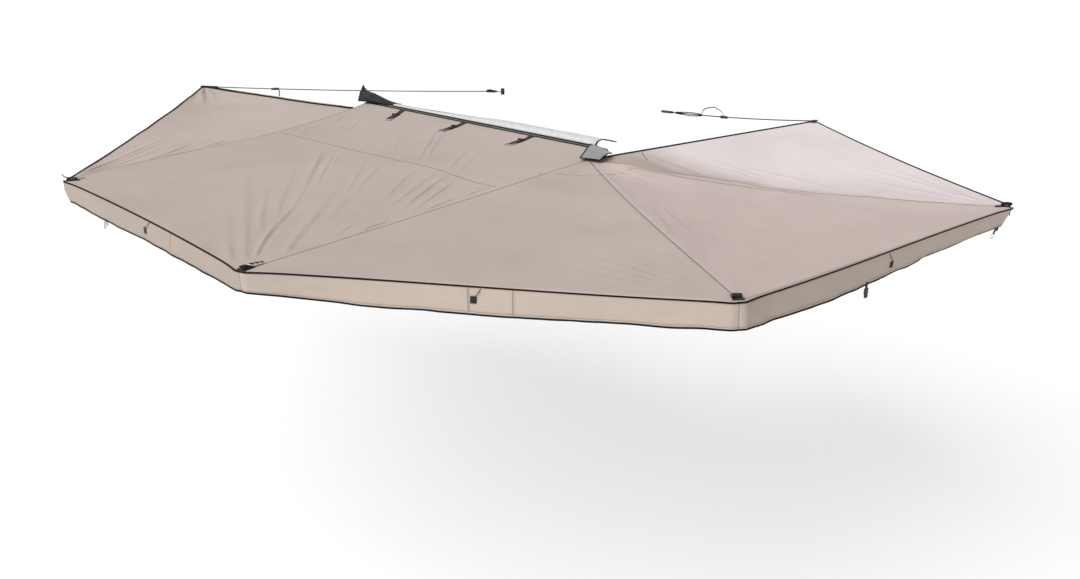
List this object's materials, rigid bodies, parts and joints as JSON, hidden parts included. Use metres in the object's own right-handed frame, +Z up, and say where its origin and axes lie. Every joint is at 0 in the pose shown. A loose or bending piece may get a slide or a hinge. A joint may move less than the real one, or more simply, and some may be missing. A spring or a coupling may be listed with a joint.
{
  "type": "vehicle side awning",
  "caption": "Vehicle side awning that fans out on hinged arms from a slim case, with a panelled fabric canopy, a hanging valance, telescopic legs and tie-down straps.",
  "frame": {"origin": "centre of the middle mounting bracket's foot, on its underside, where it rests on the rack", "axes": "+X along the case to the vehicle's front, +Y outboard, +Z up"},
  "size_m": [5.7059, 3.8667, 0.5356],
  "materials": {
    "canopy_cloth": "matt coated polyester canvas, warm grey",
    "valance_cloth": "matt coated polyester canvas, sand",
    "bag_cloth": "black coated fabric with a slight sheen",
    "bag_lining": "grey coated lining",
    "black_webbing": "black woven webbing",
    "black_moulding": "black moulded nylon",
    "foot_rubber": "black rubber",
    "anodised_alloy": "satin anodised extrusion",
    "cast_alloy": "black powder-coated casting",
    "steel": "stainless steel",
    "black_steel": "black powder-coated steel"
  },
  "bodies": {
    "case": {"back_plate": "anodised_alloy", "rear_mount_bracket": "black_steel", "middle_mount_bracket": "black_steel", "front_mount_bracket": "black_steel", "hub_bracket": "black_steel", "king_pin": "steel", "king_pin_nut": "steel", "bag_cover_flap": "bag_lining", "bag_lower_flap": "bag_cloth", "bag_front_pocket": "bag_cloth", "bag_rear_flap": "bag_lining", "bag_strap_front": "black_webbing", "bag_strap_middle": "black_webbing", "bag_strap_rear": "black_webbing"},
    "front_arm": {"front_arm_knuckle": "cast_alloy", "front_arm_rail": "anodised_alloy", "front_corner_cap": "black_moulding", "front_leg_pin": "steel", "canopy_front_wing": "canopy_cloth", "canopy_side_panel": "canopy_cloth", "side_valance": "valance_cloth", "front_tie_strap": "black_webbing", "front_tie_slider": "black_moulding", "front_tie_hook": "steel"},
    "front_leg_upper": {"front_leg_outer": "anodised_alloy", "front_leg_collar": "black_moulding"},
    "front_leg_lower": {"front_leg_inner": "anodised_alloy", "front_leg_foot": "foot_rubber"},
    "side_arm": {"side_arm_knuckle": "cast_alloy", "side_arm_rail": "anodised_alloy", "side_corner_cap": "black_moulding", "side_leg_pin": "steel", "canopy_corner_panel": "canopy_cloth", "corner_valance": "valance_cloth"},
    "side_leg_upper": {"side_leg_outer": "anodised_alloy", "side_leg_collar": "black_moulding"},
    "side_leg_lower": {"side_leg_inner": "anodised_alloy", "side_leg_foot": "foot_rubber"},
    "corner_arm": {"corner_arm_knuckle": "cast_alloy", "corner_arm_rail": "anodised_alloy", "corner_corner_cap": "black_moulding", "corner_leg_pin": "steel", "canopy_rear_panel": "canopy_cloth", "rear_valance": "valance_cloth"},
    "corner_leg_upper": {"corner_leg_outer": "anodised_alloy", "corner_leg_collar": "black_moulding"},
    "corner_leg_lower": {"corner_leg_inner": "anodised_alloy", "corner_leg_foot": "foot_rubber"},
    "rear_arm": {"rear_arm_knuckle": "cast_alloy", "rear_arm_rail": "anodised_alloy", "rear_corner_cap": "black_moulding", "rear_leg_pin": "steel", "canopy_rear_wing": "canopy_cloth", "rear_tie_strap": "black_webbing", "rear_tie_slider": "black_moulding", "rear_tie_hook": "steel"},
    "rear_leg_upper": {"rear_leg_outer": "anodised_alloy", "rear_leg_collar": "black_moulding"},
    "rear_leg_lower": {"rear_leg_inner": "anodised_alloy", "rear_leg_foot": "foot_rubber"}
  },
  "joints": [
    {"name": "rear_arm_swing", "type": "hinge", "parent": "case", "child": "rear_arm", "pos_m": [-1.237, 0.2395, 0], "axis": [0, 0, 1], "range_deg": [-206.4, 0], "deforming": ["canopy_side_panel", "canopy_corner_panel", "canopy_rear_panel", "canopy_rear_wing", "canopy_front_wing", "side_valance", "corner_valance", "rear_valance", "front_tie_strap", "rear_tie_strap", "bag_strap_front", "bag_strap_middle", "bag_strap_rear"]},
    {"name": "front_arm_swing", "type": "hinge", "parent": "case", "child": "front_arm", "pos_m": [-1.237, 0.2395, 0], "axis": [0, 0, 1], "range_deg": [-63.01, 0.01]},
    {"name": "side_arm_swing", "type": "hinge", "parent": "case", "child": "side_arm", "pos_m": [-1.237, 0.2395, 0], "axis": [0, 0, 1], "range_deg": [-105.01, 0.01]},
    {"name": "corner_arm_swing", "type": "hinge", "parent": "case", "child": "corner_arm", "pos_m": [-1.237, 0.2395, 0], "axis": [0, 0, 1], "range_deg": [-150.51, 0.01]},
    {"name": "front_leg_fold", "type": "hinge", "parent": "front_arm", "child": "front_leg_upper", "pos_m": [-0.10777, 2.45573, 0.07466], "axis": [0.891, -0.454, 0], "range_deg": [0, 88.2]},
    {"name": "front_leg_slide", "type": "slide", "parent": "front_leg_upper", "child": "front_leg_lower", "axis": [-0.4538, -0.8906, -0.0314], "range_m": [0, 0.9102]},
    {"name": "side_leg_fold", "type": "hinge", "parent": "side_arm", "child": "side_leg_upper", "pos_m": [-1.82903, 2.44899, 0.02438], "axis": [0.9659, 0.2588, 0], "range_deg": [0, 88.2]},
    {"name": "side_leg_slide", "type": "slide", "parent": "side_leg_upper", "child": "side_leg_lower", "axis": [0.2587, -0.9654, -0.0314], "range_m": [0, 0.8599]},
    {"name": "corner_leg_fold", "type": "hinge", "parent": "corner_arm", "child": "corner_leg_upper", "pos_m": [-3.1461, 1.31962, -0.02258], "axis": [0.4924, 0.8704, 0], "range_deg": [0, 88.2]},
    {"name": "corner_leg_slide", "type": "slide", "parent": "corner_leg_upper", "child": "corner_leg_lower", "axis": [0.8699, -0.4922, -0.0314], "range_m": [0, 0.813]},
    {"name": "rear_leg_fold", "type": "hinge", "parent": "rear_arm", "child": "rear_leg_upper", "pos_m": [-3.02625, -0.64869, -0.07273], "axis": [-0.4446, 0.8957, 0], "range_deg": [0, 88.2]},
    {"name": "rear_leg_slide", "type": "slide", "parent": "rear_leg_upper", "child": "rear_leg_lower", "axis": [0.8953, 0.4444, -0.0314], "range_m": [0, 0.7628]}
  ],
  "couplings": [
    {"joint": "front_arm_swing", "follows": "rear_arm_swing", "ratio": 0.30523},
    {"joint": "side_arm_swing", "follows": "rear_arm_swing", "ratio": 0.50872},
    {"joint": "corner_arm_swing", "follows": "rear_arm_swing", "ratio": 0.72917}
  ]
}
